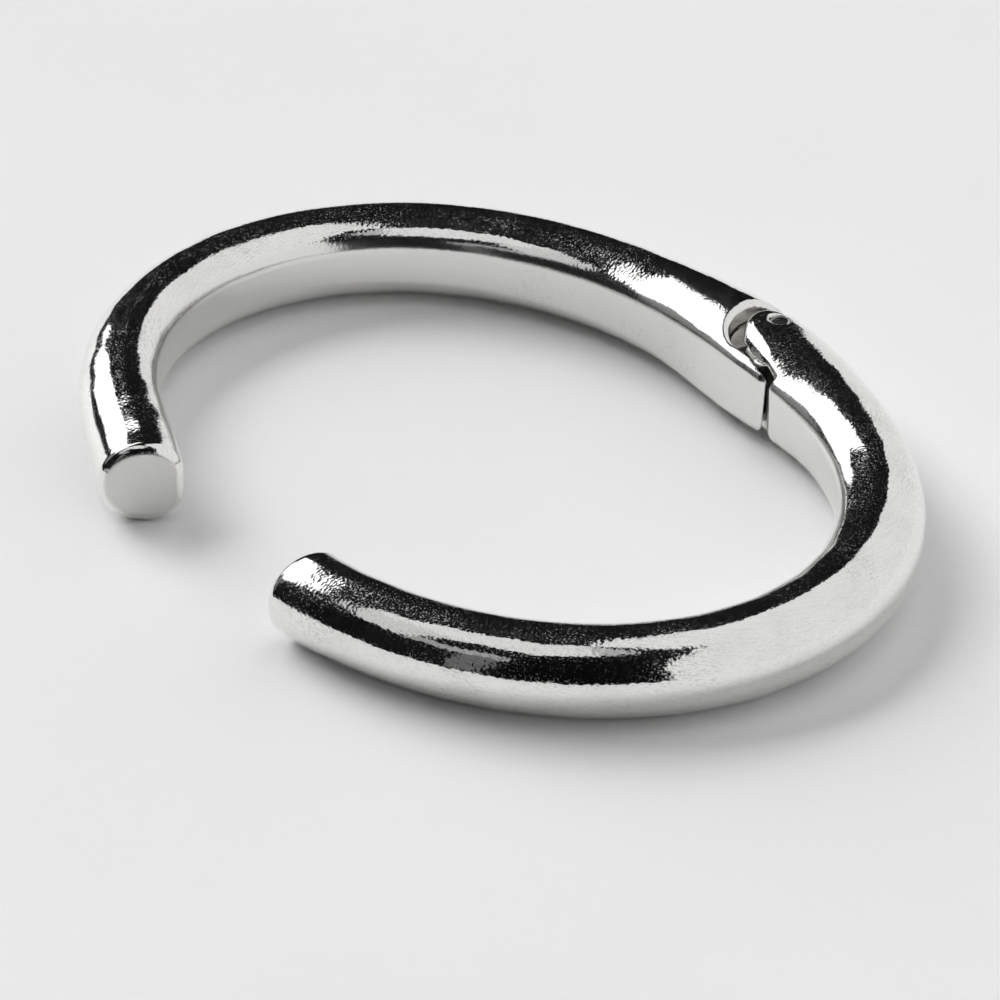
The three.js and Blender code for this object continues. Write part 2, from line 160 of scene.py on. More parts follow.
class BangleSpring(bpy.types.PropertyGroup):
    """Torsion spring round the pin."""

    wire: length("Wire", "Diameter of the wire", 0.00045)
    turns: IntProperty(name="Turns", description="Turns of the coil", default=2, min=1)
    turn_gap: length("Turn gap", "Gap between two turns", 0.00042)
    pin_clearance: length("Pin clearance", "Gap between coil and pin", 0.00023)
    well_clearance: length("Well clearance", "Gap above and below the coil", 0.0001)
    leg_clearance: length("Leg clearance", "Gap round the legs", 0.0002)
    back_leg: length("Back leg", "Length of the leg in the tongue", 0.0036)
    front_leg: length("Front leg", "Length of the leg in the front arm", 0.0044)


class BangleEdges(bpy.types.PropertyGroup):
    """Worn and polished edges, and how finely the arms are meshed."""

    rim: length("Cup rim", "Width of the bright bevel round the cup", 0.00042)
    rim_power: share("Rim fullness", "2 gives a round rim, and 1 a flat bevel", 1.4, 2.0)
    lip: length("Lip edges", "Rounding of the lip's long edges", 0.00018)
    lip_end: length("Lip end", "Rounding of the end of the lip", 0.0008)
    lip_stretch: length("Lip stretch", "How much further the lip reaches at its top", 0.0011)
    lip_lean: length("Lip lean", "How much further back the end of the lip lies at its foot", 0.0009)
    step_shift: length("Step shift", "How much further along the front arm meets the lip", 0.00095)
    nose: length("Nose edge", "Rounding of the nose's rim", 0.0007)
    flank: length("Flank edge", "Rounding of the nose's flank beside the lip", 0.0014)
    flank_swell: length("Flank swell", "How far the flank swells towards the lip", 0.0006)
    bore: length("Bore edge", "Rounding of the edge round the pin", 0.00009)
    seam: length("Seam edges", "Rounding of the edges of the seam", 0.0003)
    inner: length("Inner edges", "Rounding of slot and bore", 0.00008)
    wave: length("Wave height", "Height of each slow wave that polishing leaves", 0.000007)
    wave_size: length("Wave size", "Length of the slow waves", 0.0052)
    grain: length("Mesh grain", "Size of the faces of the arms", 0.00017)
    small_grain: length("Small grain", "Size of the faces of the tongue", 0.00011)


class BangleFinish(bpy.types.PropertyGroup):
    """Colours and polish of the metals."""

    silver: colour("Silver", "Polished silver plate", (0.91, 0.905, 0.895))
    # Dull silver is also the colour of the painted shade on the inner face, and of the darker faces sunk
    # inside the hinge
    silver_dull_and_shade: colour("Dull silver", "Plate that the polishing wheel misses", (0.66, 0.655, 0.645))
    cast: colour("Cast metal", "Unpolished tongue", (0.5, 0.48, 0.455))
    cast_dark: colour("Dark cast metal", "Hollows of the tongue", (0.25, 0.235, 0.215))
    steel: colour("Spring steel", "Wire of the spring", (0.46, 0.46, 0.47))
    polish: share("Polish roughness", "Roughness of the polished plate", 0.016)
    satin: share("Satin roughness", "Roughness of the inner face", 0.2)
    end_matt: share("End roughness", "Roughness of the end faces", 0.4)
    hidden_matt: share("Hidden roughness", "Roughness of the faces inside the hinge", 0.22)
    spot_matt: share("Spot roughness", "Added roughness of the tiny pits in the plate", 0.23)
    ripple: length("Ripple height", "Height of the ripple left by the polishing wheel", 0.000012)
    ripple_size: length("Ripple size", "Size of the ripple", 0.0014)
    peel: length("Peel height", "Height of the fine orange peel", 0.0000065)
    peel_size: length("Peel size", "Size of the fine orange peel", 0.00024)
    spot_size: length("Spot size", "Size of the tiny pits in the plate", 0.00014)
    rub: length("Rub mark depth", "Depth of the fine rubbing marks", 0.0000012)
    rub_size: length("Rub mark width", "Width of the fine rubbing marks", 0.00009)
    patch_size: length("Patch size", "Size of the rubbed patches", 0.007)
    dent: length("Dent depth", "Depth of the dents in the end faces", 0.00006)
    dent_size: length("Dent size", "Size of the dents in the end faces", 0.0016)


class BangleStage(bpy.types.PropertyGroup):
    """Camera, floor and lights."""

    azimuth: turn("Azimuth", "Direction that the camera looks in, from the hinge side", 52.097)
    elevation: turn("Elevation", "How far down the camera looks", 31.578)
    distance: length("Distance", "From the camera to the point that it looks at", 0.70835)
    lens: FloatProperty(
        name="Lens", description="Focal length in millimetres", default=346.93, unit="CAMERA"
    )
    aim_x: length("Aim X", "Point on the floor that the camera looks at", 0.0012225)
    aim_y: length("Aim Y", "Point on the floor that the camera looks at", -0.0012144)
    floor_size: length("Floor size", "Side of the floor", 3.0)
    floor: colour("Floor", "Colour of the floor", (0.9, 0.9, 0.9))
    backdrop: colour("Backdrop", "Colour behind the floor", (0.8, 0.8, 0.8))
    key: FloatProperty(name="Key light", description="Radiance of the key light", default=6.4)
    fill: FloatProperty(name="Top fill", description="Radiance of the soft light overhead", default=0.3)
    glare: FloatProperty(name="Glare", description="Most radiance that the metal mirrors", default=1.5)
    tent: length("Tent radius", "Distance of the soft panels from the bangle", 0.38)


class BangleSettings(bpy.types.PropertyGroup):
    """All the settings of the bangle."""

    oval: PointerProperty(type=BangleOval)
    section: PointerProperty(type=BangleSection)
    hinge: PointerProperty(type=BangleHinge)
    spring: PointerProperty(type=BangleSpring)
    edges: PointerProperty(type=BangleEdges)
    finish: PointerProperty(type=BangleFinish)
    stage: PointerProperty(type=BangleStage)


# The oval that both arms follow

STATION_ROUNDS = 5


def stray(oval, angle):
    """How far an arm's end strays outward from the oval, and how fast that grows with the angle.
    Angles are positive towards the back arm."""
    back = angle > 0
    reach = np.where(back, oval.back_tip, oval.front_tip) - oval.side
    spread = np.where(back, oval.back_tip_spread, oval.front_tip_spread)
    past = np.maximum(np.abs(angle) - oval.side, 0) / reach
    square = past * past
    growth = np.where(back, 1, -1) * spread * square * (15 * square - 6) / reach
    return spread * square * past * (3 * square - 2), growth


def oval_radius(oval, angle):
    """Radius of the oval at an angle, and how fast it grows."""
    mean = (oval.half_length + oval.half_width + 2 * oval.half_diagonal) / 4
    flattening = (oval.half_length - oval.half_width) / 2
    shoulder = (oval.half_length + oval.half_width - 2 * oval.half_diagonal) / 4
    extra, growth = stray(oval, angle)
    radius = mean - flattening * np.cos(2 * angle) + shoulder * np.cos(4 * angle) + extra
    slope = 2 * flattening * np.sin(2 * angle) - 4 * shoulder * np.sin(4 * angle) + growth
    return radius, slope


def oval_frame(oval, angle):
    """Points of the oval, directions towards the back tip, outward directions and length per radian."""
    radius, slope = oval_radius(oval, angle)
    sine, cosine = np.sin(angle), np.cos(angle)
    point = np.stack([-radius * sine, radius * cosine], axis=-1)
    along = np.stack([-slope * sine - radius * cosine, slope * cosine - radius * sine], axis=-1)
    speed = np.hypot(along[..., 0], along[..., 1])
    along = along / speed[..., None]
    outward = np.stack([along[..., 1], -along[..., 0]], axis=-1)
    return point, along, outward, speed


def oval_station(oval, plan):
    """Angle of the oval's point nearest to each plan point, and how far outward from it the point lies."""
    angle = np.arctan2(-plan[:, 0], plan[:, 1])
    for _ in range(STATION_ROUNDS):
        point, along, outward, speed = oval_frame(oval, angle)
        across = np.sum((plan - point) * outward, axis=1)
        angle = angle + np.sum((plan - point) * along, axis=1) / (speed + across)
    return angle, across


# Section of the arms


def section_sizes(settings, angle, tip):
    """Outer reach, inner reach, height and flat of an arm at an angle."""
    oval, section = settings.oval, settings.section
    to_tip = np.minimum(np.abs(angle / tip), 1)
    swell = np.exp(-(((angle + oval.pin) / section.swell_spread) ** 2))
    from_waist = (angle / oval.back_tip - section.waist_place) / section.waist_spread
    waist = section.waist_depth * np.exp(-(from_waist**2))
    outer, inner, height, flat = (
        root + (end - root) * to_tip + growth * swell
        for root, end, growth in zip(section.root, section.tip, section.swell)
    )
    return outer, inner - waist, height, flat


def section_distance(across, level, sizes):
    """Distance to a section's outline, below zero inside: round outside, flat inside, soft corners."""
    outer, inner, height, flat = sizes
    half_flat = np.where(across > 0, 0, flat / 2)
    reach = np.where(across > 0, outer, inner)
    rise_reach = height / 2 - half_flat
    rise = np.maximum(np.abs(level - height / 2) - half_flat, 0)
    scaled = np.hypot(across / reach, rise / rise_reach)
    slope = np.hypot(across / reach**2, rise / rise_reach**2)
    return scaled * (scaled - 1) / np.maximum(slope, 1)


# Joining and cutting of solids given by their distance

FAR = 1.0


def meet(a, b, radius, power=2.0):
    """Distance to what lies inside both solids. Their edge is rounded, or bevelled at a low power."""
    x = np.maximum(a + radius, 0)
    y = np.maximum(b + radius, 0)
    rounded = (x**power + y**power) ** (1 / power)
    return rounded + np.minimum(np.maximum(a, b) + radius, 0) - radius


def ease(low, high, value):
    """0 below low, 1 above high, and a smooth rise between."""
    part = np.clip((value - low) / (high - low), 0, 1)
    return part * part * (3 - 2 * part)


def outline_distance(plan, outline):
    """Distance in plan to a closed outline, below zero inside it."""
    nearest = np.full(len(plan), np.inf)
    inside = np.zeros(len(plan), bool)
    for start, end in zip(outline, np.roll(outline, -1, axis=0)):
        edge = end - start
        offset = plan - start
        along = np.clip(offset @ edge / (edge @ edge), 0, 1)
        gap = offset - along[:, None] * edge
        nearest = np.minimum(nearest, np.sum(gap * gap, axis=1))
        if start[1] != end[1]:
            between = (start[1] > plan[:, 1]) != (end[1] > plan[:, 1])
            inside ^= between & (offset[:, 0] < offset[:, 1] * edge[0] / edge[1])
    return np.where(inside, -1, 1) * np.sqrt(nearest)


def layer_distance(level, bottom, top):
    return np.maximum(bottom - level, level - top)


def prism_distance(plan, level, outline, bottom, top):
    """Distance to an upright solid: a closed outline between two levels."""
    return np.maximum(outline_distance(plan, outline), layer_distance(level, bottom, top))


# Plan outlines of the hinge, in its own axes: origin on the pin, x towards the front arm, y outward

ARC_STEP = math.radians(3)
OVERRUN = 0.012


def arc(centre, radius, start, end):
    steps = math.ceil(abs(end - start) / ARC_STEP)
    turns = np.linspace(start, end, steps + 1)
    return np.stack([np.cos(turns), np.sin(turns)], axis=-1) * radius + centre


def joined(*parts):
    """Closed outline of corners and arcs."""
    return np.concatenate([np.atleast_2d(part) for part in parts])


class HingeLayout:
    """Where the hinge lies and the sizes that follow from its settings."""

    def __init__(self, settings):
        self.settings = settings
        self.hinge, self.edges = settings.hinge, settings.edges
        spring = settings.spring
        station = np.array([-settings.oval.pin])
        point, along, outward, _ = (value[0] for value in oval_frame(settings.oval, station))
        sizes = section_sizes(settings, station, -settings.oval.front_tip)
        self.along, self.outward = -along, outward
        self.pin = point + outward * self.hinge.pin_outset
        self.height = float(sizes[2][0])
        self.inner_face = -(self.hinge.pin_outset + float(sizes[1][0]))
        self.lip_wall = self.inner_face + self.hinge.lip_tip
        self.step = self.hinge.lip_reach + self.hinge.seam_gap
        self.cup_centre = np.array([self.hinge.cup_forward, -self.hinge.cup_inset])
        self.slot_bottom = self.hinge.ear
        self.slot_top = self.height - self.hinge.ear
        self.tongue_bottom = self.slot_bottom + self.hinge.layer_gap
        self.tongue_top = self.slot_top - self.hinge.layer_gap
        self.coil_radius = self.hinge.pin_radius + spring.pin_clearance + spring.wire / 2
        self.coil_pitch = spring.wire + spring.turn_gap
        self.coil_rise = spring.turns * self.coil_pitch
        self.coil_bottom = self.height / 2 - self.coil_rise / 2
        self.well_radius = self.coil_radius + spring.wire / 2 + spring.leg_clearance
        self.well_bottom = self.coil_bottom - spring.wire / 2 - spring.well_clearance
        self.well_top = self.coil_bottom + self.coil_rise + spring.wire / 2 + spring.well_clearance

    def local(self, plan):
        """Plan points about the oval's middle, in the hinge's axes."""
        offset = plan - self.pin
        return np.stack([offset @ self.along, offset @ self.outward], axis=-1)

    def cup_outline(self):
        """Space in front of the back arm's cup and behind its lip."""
        hinge = self.hinge
        far = hinge.lip_reach + 2 * OVERRUN
        return joined(
            (far, self.inner_face - 2 * OVERRUN),
            (far / 2, self.lip_wall),
            arc(self.cup_centre, hinge.cup_radius, 3 * math.pi / 2, math.pi / 2),
            (hinge.cup_forward, hinge.cup_radius + OVERRUN),
            (far, hinge.cup_radius + OVERRUN),
            (far, self.inner_face - OVERRUN),
        )

    def nose_outline(self):
        """What is kept of the front arm: a step for the lip, a flank, a round nose and a shoulder."""
        hinge = self.hinge
        step = np.array([self.step + self.edges.step_shift, self.lip_wall + hinge.lip_gap])
        centre = np.array([hinge.nose_forward, -hinge.nose_inset])
        to_step = step - centre
        flank = math.atan2(to_step[1], to_step[0]) - math.acos(hinge.nose_radius / np.hypot(*to_step))
        far = hinge.lip_reach + 2 * OVERRUN
        edge = hinge.shoulder_radius * math.cos(hinge.shoulder_end)
        return joined(
            (far, self.inner_face - OVERRUN),
            (step[0], self.inner_face - OVERRUN),
            step,
            arc(centre, hinge.nose_radius, flank, hinge.nose_top - 2 * math.pi),
            arc(np.zeros(2), hinge.shoulder_radius, hinge.shoulder, hinge.shoulder_end),
            (edge, hinge.shoulder_radius + OVERRUN),
            (far, hinge.shoulder_radius + OVERRUN),
        )

    def slot_outline(self):
        """Space between the ears, for the tongue."""
        hinge = self.hinge
        radius = hinge.tongue_radius + hinge.tongue_gap
        start = math.acos(hinge.tongue_gap / radius)
        far = hinge.shoulder_radius + OVERRUN
        return joined(
            (hinge.tongue_gap, self.inner_face - OVERRUN),
            arc(np.zeros(2), radius, -start, hinge.slot_end),
            (far * math.cos(hinge.slot_end), far * math.sin(hinge.slot_end)),
            (-far, far),
            (-far, self.inner_face - OVERRUN),
        )

    def shank_outline(self, gap):
        """Shank of the tongue, which tapers into the back arm."""
        hinge = self.hinge
        end = hinge.cup_forward - hinge.cup_radius - hinge.shank_length - gap
        return joined(
            (end, -hinge.tongue_radius - gap),
            (0, -hinge.tongue_radius - gap),
            (0, hinge.shank_outer + gap),
            (end, hinge.shank_tail + gap),
        )

    def head_outline(self):
        """Eye of the tongue, and its head against the cup's wall."""
        hinge = self.hinge
        return joined(
            arc(np.zeros(2), hinge.tongue_radius, -math.pi / 2, hinge.head_turn),
            arc(self.cup_centre, hinge.cup_radius - hinge.braze_gap, hinge.head_outer, hinge.head_inner),
        )

    def groove_distance(self, plan, level, left, right, middle):
        """Groove for one leg of the spring."""
        half = self.settings.spring.wire / 2 + self.settings.spring.leg_clearance
        return np.maximum.reduce([
            layer_distance(plan[:, 0], left, right),
            layer_distance(plan[:, 1], -self.coil_radius - half, -self.coil_radius + half),
            layer_distance(level, middle - half, middle + half),
        ])

    def bore_distance(self, plan):
        """Hole that the pin turns in."""
        return np.hypot(*plan.T) - self.hinge.pin_radius - self.hinge.bore_clearance


# The pieces as distances. Points are about the oval's middle, in metres.

# Direction of each slow wave, its length as a share of the wave size, and its phase
WAVES = (
    (0.80, 0.60, 0.00, 1.00, 0.3),
    (-0.55, 0.79, 0.27, 0.74, 1.9),
    (0.31, -0.42, 0.85, 1.21, 4.1),
    (0.93, -0.21, -0.30, 0.63, 2.7),
    (-0.18, 0.95, -0.26, 0.88, 5.2),
    (0.62, 0.33, 0.71, 1.42, 0.9),
)


def slow_waves(edges, points):
    """Height of the slow unevenness that hand polishing leaves."""
    height = np.zeros(len(points))
    for x, y, z, size, phase in WAVES:
        height += np.sin(points @ np.array([x, y, z]) * (2 * math.pi / (size * edges.wave_size)) + phase)
    return height * edges.wave


def past_tip(oval, points, angle, tip):
    """How far points lie past the end face of an arm, and the direction that the face looks in."""
    tip_point, tip_along, _, _ = oval_frame(oval, np.array([tip]))
    way = tip_along[0] * math.copysign(1, tip)
    past = (points[:, :2] - tip_point[0]) @ way
    return np.where(np.abs(angle) > abs(tip) / 2, past, -FAR), way


# Radius round the pin that holds the whole hinge
HINGE_REACH = 0.0095
# Length over which a move of the seam fades out
SEAM_RUN = 0.003
# Slack that tells the faces of the lip from the faces round them
NEAR = 0.00005


def near_hinge(layout, points):
    return np.hypot(*(points[:, :2] - layout.pin).T) < HINGE_REACH


def arm_distance(layout, points, tip, cut):
    """Distance to an arm whose end near the pin is cut to the hinge's form."""
    settings = layout.settings
    angle, across = oval_station(settings.oval, points[:, :2])
    skin = section_distance(across, points[:, 2], section_sizes(settings, angle, tip))
    past, _ = past_tip(settings.oval, points, angle, tip)
    solid = meet(skin + slow_waves(settings.edges, points), past, settings.section.tip_edge)
    near = near_hinge(layout, points)
    solid[near] = cut(layout, solid[near], layout.local(points[near, :2]), points[near, 2])
    return solid


def lip_end(layout, level):
    """How far the lip reaches past the pin at a level: it leans back towards its foot."""
    edges = layout.edges
    return layout.hinge.lip_reach + edges.lip_stretch - edges.lip_lean * (1 - level / layout.height)


def lip_drawn_out(layout, points):
    """Points of the back arm's solid with the end of its lip moved on."""
    plan = layout.local(points[:, :2])
    part = np.clip((plan[:, 0] - layout.hinge.lip_reach) / SEAM_RUN + 1, 0, 1)
    part = part * (plan[:, 1] < layout.lip_wall + NEAR) * near_hinge(layout, points)
    end = lip_end(layout, points[:, 2]) - layout.edges.lip_end / 4
    points[:, :2] += (part * (end - layout.hinge.lip_reach))[:, None] * layout.along


def step_moved_on(layout, points):
    """Points of the front arm's solid with the step that meets the lip moved on."""
    plan = layout.local(points[:, :2])
    part = np.clip(1 - (plan[:, 0] - layout.step) / SEAM_RUN, 0, 1) * (plan[:, 0] > layout.step - NEAR)
    outer = layout.lip_wall + layout.hinge.lip_gap + NEAR
    part = part * np.clip(1 - (plan[:, 1] - outer) / SEAM_RUN, 0, 1) * near_hinge(layout, points)
    points[:, :2] += part[:, None] * layout.along * layout.edges.step_shift


def cut_to_cup(layout, arm, plan, level):
    """The back arm's end: the cup, the lip and the hole for the tongue's shank."""
    hinge, edges = layout.hinge, layout.edges
    cup = -outline_distance(plan, layout.cup_outline())
    to_lip = ease(-hinge.cup_forward, hinge.nose_radius, plan[:, 0])
    radius = edges.rim + (edges.lip - edges.rim) * to_lip
    power = edges.rim_power + (2 - edges.rim_power) * to_lip
    kept = meet(arm, cup, radius, power)
    kept = meet(kept, plan[:, 0] - lip_end(layout, level), edges.lip_end)
    bottom, top = layout.tongue_bottom - hinge.braze_gap, layout.tongue_top + hinge.braze_gap
    mortise = prism_distance(plan, level, layout.shank_outline(hinge.braze_gap), bottom, top)
    return meet(kept, -mortise, edges.inner)


def cut_to_nose(layout, arm, plan, level):
    """The front arm's end: the step, the flank, the nose and its ears, the spring's groove, the bore."""
    hinge, edges, spring = layout.hinge, layout.edges, layout.settings.spring
    past_nose = ease(-hinge.nose_radius / 2, hinge.nose_forward, plan[:, 0])
    before_seam = ease(hinge.lip_reach, hinge.lip_reach / 2, plan[:, 0])
    flank = past_nose * ease(0, -hinge.nose_radius, plan[:, 1]) * before_seam
    nose = outline_distance(plan, layout.nose_outline()) - edges.flank_swell * flank
    radius = edges.nose + (edges.seam - edges.nose) * ease(hinge.nose_radius, hinge.lip_reach, plan[:, 0])
    kept = meet(arm, nose, radius + (edges.flank - edges.nose) * flank)
    slot = prism_distance(plan, level, layout.slot_outline(), layout.slot_bottom, layout.slot_top)
    kept = meet(kept, -slot, edges.inner)
    groove = layout.groove_distance(
        plan, level, 0, spring.front_leg + spring.leg_clearance, layout.coil_bottom + layout.coil_rise
    )
    return meet(np.maximum(kept, -groove), -layout.bore_distance(plan), edges.bore)


def tongue_distance(layout, points):
    edges, spring = layout.edges, layout.settings.spring
    plan = layout.local(points[:, :2])
    level = points[:, 2]
    outline = np.minimum(
        outline_distance(plan, layout.head_outline()), outline_distance(plan, layout.shank_outline(0))
    )
    solid = meet(outline, layer_distance(level, layout.tongue_bottom, layout.tongue_top), edges.inner)
    well = np.maximum(
        -layout.well_radius - plan[:, 0], layer_distance(level, layout.well_bottom, layout.well_top)
    )
    groove = layout.groove_distance(
        plan, level, -spring.back_leg - spring.leg_clearance, layout.coil_radius, layout.coil_bottom
    )
    solid = meet(solid, -np.minimum(well, groove), edges.inner)
    return meet(solid, -layout.bore_distance(plan), edges.inner)


# Meshes

WORK_SCALE = 1000.0
PROBE = 1e-6
LEAST_STEEPNESS = 0.1
DRAW_ROUNDS = 3
RELAX_ROUNDS = 3
TURN_STEPS = 96
DISH_POINTS = 13
RIM_POINTS = 9
COIL_STEPS = 48
WIRE_FINENESS = 5
ZONES = "zones"
STRAIGHT = "straightened"
# Where the inner face starts and is full: by how far it looks inward, and by its share of the inner reach
INNER_FACING = (0.55, 0.95)
INNER_REACH = (0.7, 0.9)
# Where the end face starts and is full, by how far it looks along the arm
END_FACING = (0.8, 1)


def oval_middle(layout):
    """Where the oval's middle lies in the model: the hinge's joint is on the pin."""
    joint = frame["joints"][0]["pos_m"]
    return np.array([joint[0] - layout.pin[0], joint[1] - layout.pin[1], 0.0])


def slopes(distance, points):
    """Value and gradient of a distance at points."""
    value = distance(points)
    gradient = [(distance(points + step) - value) / PROBE for step in PROBE * np.eye(3)]
    return value, np.stack(gradient, axis=-1)


def drawn_onto(distance, points, reach, rounds):
    """Points moved onto the surface of a distance."""
    for _ in range(rounds):
        value, gradient = slopes(distance, points)
        steep = np.maximum(np.sum(gradient * gradient, axis=1), LEAST_STEEPNESS)
        move = gradient * (value / steep)[:, None]
        size = np.linalg.norm(move, axis=1)
        points = points - move * np.minimum(1, reach / np.maximum(size, PROBE))[:, None]
    return points


def relaxed(points, edges):
    """Points moved halfway to the middle of their neighbours."""
    total = np.zeros_like(points)
    count = np.zeros(len(points))
    for here, there in ((0, 1), (1, 0)):
        np.add.at(total, edges[:, here], points[edges[:, there]])
        np.add.at(count, edges[:, here], 1)
    return (points + total / np.maximum(count, 1)[:, None]) / 2


def link(name, mesh):
    piece = bpy.data.objects.new(name, mesh)
    bpy.context.scene.collection.objects.link(piece)
    return piece


def vertex_points(mesh):
    """Places of a mesh's vertices, one row each."""
    points = np.empty(len(mesh.vertices) * 3)
    mesh.vertices.foreach_get("co", points)
    return points.reshape(-1, 3)


def smoothed(mesh):
    mesh.polygons.foreach_set("use_smooth", np.ones(len(mesh.polygons), bool))
    mesh.update()
    return mesh


def from_solid(name, solid):
    """Mesh of an edited solid, which is used up."""
    mesh = bpy.data.meshes.new(name)
    solid.to_mesh(mesh)
    solid.free()
    return mesh


def from_rough(name, rough):
    """Mesh of a rough object as its modifiers or bevel leave it. The object is used up."""
    depsgraph = bpy.context.evaluated_depsgraph_get()
    mesh = bpy.data.meshes.new_from_object(rough.evaluated_get(depsgraph))
    bpy.data.objects.remove(rough)
    mesh.name = name
    return mesh


def fine_copy(node, name, grain, move):
    """Evenly meshed copy of a CAD solid, some of its points moved first."""
    mesh = frame["nodes"][node].data.copy()
    mesh.materials.clear()
    solid = bmesh.new()
    solid.from_mesh(mesh)
    bmesh.ops.remove_doubles(solid, verts=solid.verts, dist=PROBE)
    solid.to_mesh(mesh)
    solid.free()
    points = vertex_points(mesh)
    move(points)
    mesh.vertices.foreach_set("co", points.ravel())
    mesh.transform(Matrix.Scale(WORK_SCALE, 4))
    rough = link(name, mesh)
    remesh = rough.modifiers.new("Even faces", "REMESH")
    remesh.mode = "VOXEL"
    remesh.voxel_size = grain * WORK_SCALE
    fine = from_rough(name, rough)
    bpy.data.meshes.remove(mesh)
    fine.transform(Matrix.Scale(1 / WORK_SCALE, 4))
    return fine


def carve(layout, node, name, distance, grain, move=None):
    """Mesh of a piece: a fine copy of its solid, drawn onto its true curves and worn edges.
    Gives its points about the oval's middle and its outward directions too."""
    middle = oval_middle(layout)

    def form(points):
        return distance(layout, points)

    def moved(points):
        if move:
            points -= middle
            move(layout, points)
            points += middle

    mesh = fine_copy(node, name, grain, moved)
    edges = np.empty(len(mesh.edges) * 2, int)
    mesh.edges.foreach_get("vertices", edges)
    edges = edges.reshape(-1, 2)
    points = drawn_onto(form, vertex_points(mesh) - middle, grain, DRAW_ROUNDS)
    for _ in range(RELAX_ROUNDS):
        points = drawn_onto(form, relaxed(points, edges), grain, 1)
    _, normals = slopes(form, points)
    normals /= np.linalg.norm(normals, axis=1)[:, None]
    mesh.vertices.foreach_set("co", (points + middle).ravel())
    smoothed(mesh).normals_split_custom_set_from_vertices(normals)
    return mesh, points, normals


def paint_zones(mesh, layout, points, normals, tip, dullness):
    """Marks the inner face, the end face and the hidden faces of the hinge on an arm's mesh,
    and where each point would lie if the arm were straight."""
    settings = layout.settings
    angle, across = oval_station(settings.oval, points[:, :2])
    sizes = section_sizes(settings, angle, tip)
    _, _, outward, _ = oval_frame(settings.oval, angle)
    inward = -np.sum(normals[:, :2] * outward, axis=1)
    inner = ease(*INNER_FACING, inward) * ease(*INNER_REACH, -across / sizes[1])
    past, way = past_tip(settings.oval, points, angle, tip)
    end = ease(-settings.section.tip_edge / 4, 0, past) * ease(*END_FACING, normals[:, :2] @ way)
    depth = -section_distance(across, points[:, 2], sizes)
    rim = settings.edges.rim
    hidden = dullness * ease(rim, 2 * rim, depth) * near_hinge(layout, points)
    zones = np.stack([inner, end, hidden, np.ones(len(points))], axis=-1).astype(np.float32)
    mesh.attributes.new(ZONES, "FLOAT_COLOR", "POINT").data.foreach_set("color", zones.ravel())
    run = (settings.oval.half_length + settings.oval.half_width) / 2 * angle
    straight = np.stack([run, across, points[:, 2]], axis=-1).astype(np.float32)
    mesh.attributes.new(STRAIGHT, "FLOAT_VECTOR", "POINT").data.foreach_set("vector", straight.ravel())


def turned_mesh(name, profile, centre):
    """Mesh of a profile of radius and height, turned about an upright axis that it starts and ends on."""
    solid = bmesh.new()
    rings = []
    for radius, level in profile:
        turns = 2 * math.pi * np.arange(TURN_STEPS if radius > PROBE else 1) / TURN_STEPS
        around = zip(centre[0] + radius * np.cos(turns), centre[1] + radius * np.sin(turns))
        rings.append([solid.verts.new((x, y, level)) for x, y in around])
    for upper, lower in zip(rings, rings[1:]):
        for step in range(TURN_STEPS):
            places = ((upper, step), (lower, step), (lower, step + 1), (upper, step + 1))
            corners = [ring[place % len(ring)] for ring, place in places]
            solid.faces.new(list(dict.fromkeys(corners)))
    return smoothed(from_solid(name, solid))


def pin_profile(layout):
    """Half of the pin's outline: a shallow dimple, a rounded rim and a straight side, both ends alike."""
    hinge = layout.hinge
    half = layout.height / 2 - hinge.pin_recess
    rim = hinge.pin_radius - hinge.pin_edge
    dish = [
        (rim * part, half - hinge.pin_dimple * (1 - part * part) ** 2)
        for part in np.linspace(0, 1, DISH_POINTS)
    ]
    edge = [
        (rim + hinge.pin_edge * math.sin(angle), half - hinge.pin_edge * (1 - math.cos(angle)))
        for angle in np.linspace(0, math.pi / 2, RIM_POINTS)[1:]
    ]
    upper = dish + edge
    lower = [(radius, -level) for radius, level in reversed(upper)]
    return [(radius, layout.height / 2 + level) for radius, level in upper + lower]


def spring_line(layout):
    """Points along the middle of the spring's wire, in the hinge's axes."""
    spring = layout.settings.spring
    turns = np.arange(spring.turns * COIL_STEPS + 1) / COIL_STEPS
    angle = 2 * math.pi * turns - math.pi / 2
    coil = np.stack([
        layout.coil_radius * np.cos(angle),
        layout.coil_radius * np.sin(angle),
        layout.coil_bottom + layout.coil_pitch * turns,
    ], axis=-1)
    start = coil[0] - [spring.back_leg, 0, 0]
    end = coil[-1] + [spring.front_leg, 0, 0]
    return np.concatenate([[start], coil, [end]])


def wire_mesh(name, points, radius):
    """Round wire along points, with closed ends."""
    curve = bpy.data.curves.new(name, "CURVE")
    curve.dimensions = "3D"
    curve.bevel_depth = radius
    curve.bevel_resolution = WIRE_FINENESS
    curve.use_fill_caps = True
    line = curve.splines.new("POLY")
    line.points.add(len(points) - 1)
    line.points.foreach_set("co", np.concatenate([points, np.ones((len(points), 1))], axis=1).ravel())
    mesh = from_rough(name, link(name, curve))
    bpy.data.curves.remove(curve)
    return mesh


# Shader nodes


def plug(tree, value, socket):
    """Feeds a socket from another socket, or gives it a value."""
    if isinstance(value, bpy.types.NodeSocket):
        tree.links.new(value, socket)
    else:
        socket.default_value = value


def put(tree, kind, inputs=None, **values):
    """New node. An input is a value, or the socket that feeds it."""
    made = tree.nodes.new(kind)
    for name, value in values.items():
        setattr(made, name, value)
    for name, value in (inputs or {}).items():
        plug(tree, value, made.inputs[name])
    return made


def maths(tree, operation, *parts):
    return put(tree, "ShaderNodeMath", dict(enumerate(parts)), operation=operation).outputs[0]


def times(tree, first, second):
    return maths(tree, "MULTIPLY", first, second)


def plus(tree, total, *parts):
    for part in parts:
        total = maths(tree, "ADD", total, part)
    return total


def blend_colour(tree, factor, first, second):
    inputs = {0: factor, 6: first, 7: second}
    return put(tree, "ShaderNodeMix", inputs, data_type="RGBA").outputs[2]


